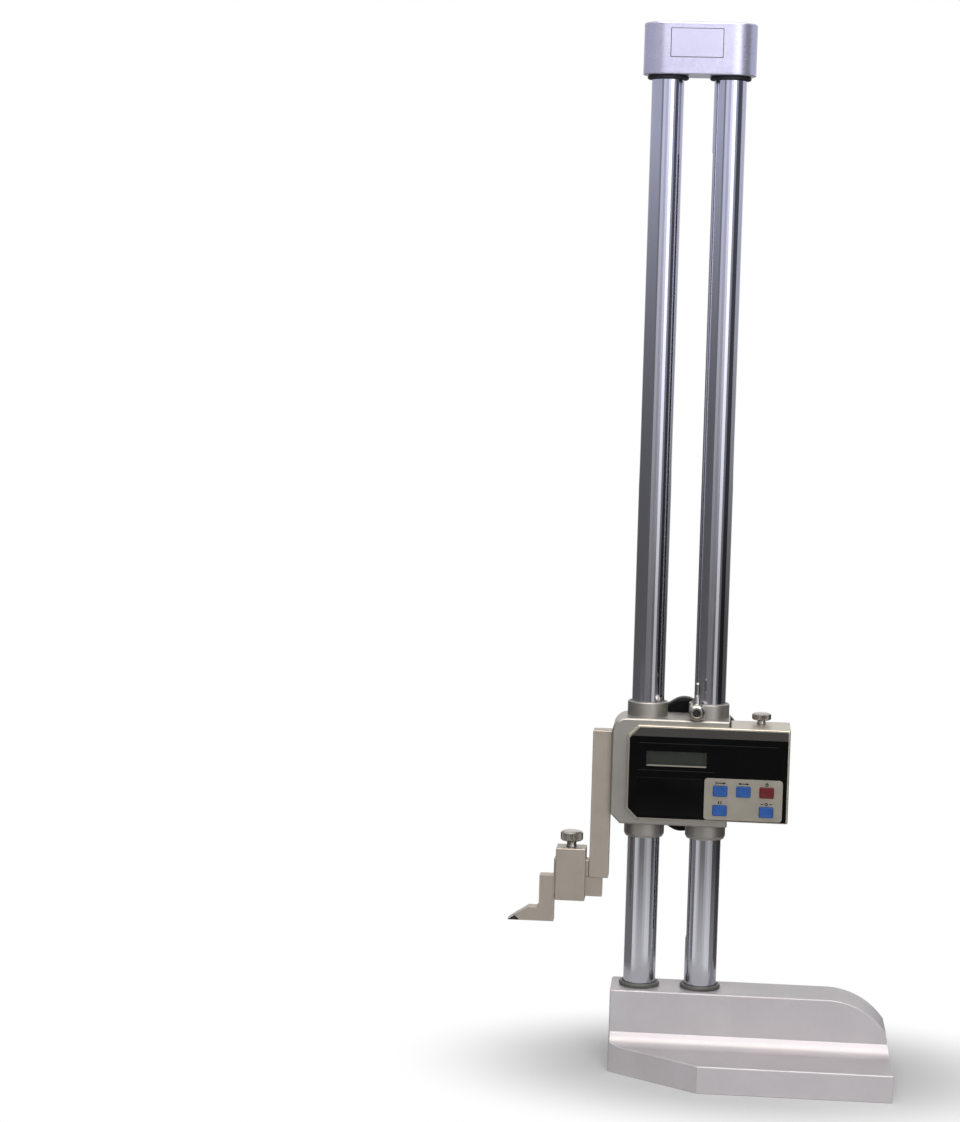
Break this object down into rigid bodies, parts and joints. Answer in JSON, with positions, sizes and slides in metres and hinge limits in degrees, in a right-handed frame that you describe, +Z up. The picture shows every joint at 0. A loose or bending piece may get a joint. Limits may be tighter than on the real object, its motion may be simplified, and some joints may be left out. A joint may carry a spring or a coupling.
{
  "type": "height gauge",
  "caption": "Digital height gauge: a geared slider with readout, keys and a clamped scriber rides guide columns on a heavy base to measure and mark heights.",
  "frame": {"origin": "On the foot plane of the base, midway between the two column axes.", "axes": "+X runs along the base to its rounded tail, the display faces -Y, +Z is up along the columns."},
  "size_m": [0.2396, 0.124, 0.6465],
  "materials": {
    "base_paint": "satin light grey paint on a casting",
    "column_chrome": "ground hard chrome",
    "cap_metal": "satin blasted, blue-grey",
    "satin_steel": "satin plated, warm grey",
    "ground_steel": "fine ground, warm grey",
    "dark_steel": "blackened",
    "bright_steel": "bright plated",
    "carbide": "dark ground carbide",
    "grey_rubber": "smooth moulded",
    "black_rubber": "smooth moulded",
    "felt": "oiled felt",
    "bronze": "turned bronze",
    "housing_metal": "satin light beige",
    "bezel_black": "moulded, half gloss",
    "clear_window": "clear, polished",
    "lcd_glass": "grey-green display, blank",
    "key_field": "beige-grey, matt",
    "board_green": "solder mask",
    "battery_sleeve": "plain sleeve",
    "wheel_black": "moulded, fine grain",
    "blue_key": "moulded, satin",
    "red_key": "moulded, satin"
  },
  "bodies": {
    "stand": {"base": "base_paint", "left_column": "column_chrome", "right_column": "column_chrome", "feed_rack": "dark_steel", "rack_pins": "dark_steel", "column_bolts": "dark_steel", "lower_buffers": "grey_rubber", "upper_buffers": "black_rubber", "top_cap": "cap_metal", "cap_screws": "dark_steel"},
    "slider": {"slider_frame": "satin_steel", "upper_left_bush": "satin_steel", "upper_right_bush": "satin_steel", "lower_left_bush": "satin_steel", "lower_right_bush": "satin_steel", "wiper_rings": "felt", "bearing_plate": "satin_steel", "bearing_plate_screws": "dark_steel", "rear_shaft_bush": "bronze", "front_shaft_bush": "bronze", "display_housing": "housing_metal", "housing_screws": "dark_steel", "front_bezel": "bezel_black", "readout_window": "clear_window", "lcd_panel": "lcd_glass", "keypad_plate": "key_field", "circuit_board": "board_green", "dome_switches": "bronze", "encoder_reader": "wheel_black", "battery_lid": "housing_metal", "battery": "battery_sleeve", "battery_contacts": "bronze", "clamp_shoe": "bronze", "scriber_bracket": "ground_steel", "bracket_screws": "dark_steel"},
    "wheel": {"hand_wheel": "wheel_black", "drive_shaft": "ground_steel", "feed_pinion": "bronze", "encoder_disc": "bright_steel", "wheel_washer": "bright_steel", "wheel_screw": "bright_steel"},
    "slider_clamp": {"clamp_lever": "bright_steel", "clamp_spindle": "dark_steel"},
    "lid_screw": {"lid_screw": "bright_steel"},
    "scriber_clamp": {"scriber_clamp": "ground_steel"},
    "thumb_screw": {"clamp_thumb_screw": "bright_steel"},
    "scriber": {"scriber": "ground_steel", "carbide_tip": "carbide"},
    "preset_key": {"preset_key": "blue_key"},
    "units_key": {"units_key": "blue_key"},
    "power_key": {"power_key": "red_key"},
    "hold_key": {"hold_key": "blue_key"},
    "zero_key": {"zero_key": "blue_key"}
  },
  "joints": [
    {"name": "slider_travel", "type": "slide", "parent": "stand", "child": "slider", "axis": [0, 0, 1], "range_m": [-0.0908, 0.3665]},
    {"name": "wheel_turn", "type": "hinge", "parent": "slider", "child": "wheel", "pos_m": [0.00355, 0, 0.188], "axis": [0, 1, 0], "range_deg": [-744, 3001]},
    {"name": "clamp_turn", "type": "hinge", "parent": "slider", "child": "slider_clamp", "pos_m": [0.0116, -0.02, 0.2272], "axis": [0, 1, 0], "range_deg": [-60, 60]},
    {"name": "lid_screw_turn", "type": "hinge", "parent": "slider", "child": "lid_screw", "pos_m": [0.0516, 0.002, 0.2185], "axis": [0, 0, 1], "continuous": true},
    {"name": "clamp_shift", "type": "slide", "parent": "slider", "child": "scriber_clamp", "axis": [-1, 0, 0], "range_m": [-0.0015, 0.006]},
    {"name": "thumb_screw_turn", "type": "hinge", "parent": "scriber_clamp", "child": "thumb_screw", "pos_m": [-0.0635, -0.007, 0.138], "axis": [0, 0, 1], "continuous": true},
    {"name": "scriber_shift", "type": "slide", "parent": "scriber_clamp", "child": "scriber", "axis": [-1, 0, 0], "range_m": [-0.0004, 0.015]},
    {"name": "preset_press", "type": "slide", "parent": "slider", "child": "preset_key", "axis": [0, 1, 0], "range_m": [0, 0.0006], "stiffness_N_per_m": 1200, "springref_m": -0.0005},
    {"name": "units_press", "type": "slide", "parent": "slider", "child": "units_key", "axis": [0, 1, 0], "range_m": [0, 0.0006], "stiffness_N_per_m": 1200, "springref_m": -0.0005},
    {"name": "power_press", "type": "slide", "parent": "slider", "child": "power_key", "axis": [0, 1, 0], "range_m": [0, 0.0006], "stiffness_N_per_m": 1200, "springref_m": -0.0005},
    {"name": "hold_press", "type": "slide", "parent": "slider", "child": "hold_key", "axis": [0, 1, 0], "range_m": [0, 0.0006], "stiffness_N_per_m": 1200, "springref_m": -0.0005},
    {"name": "zero_press", "type": "slide", "parent": "slider", "child": "zero_key", "axis": [0, 1, 0], "range_m": [0, 0.0006], "stiffness_N_per_m": 1200, "springref_m": -0.0005}
  ],
  "couplings": [
    {"joint": "wheel_turn", "follows": "slider_travel", "rad_per_m": 142.86}
  ]
}
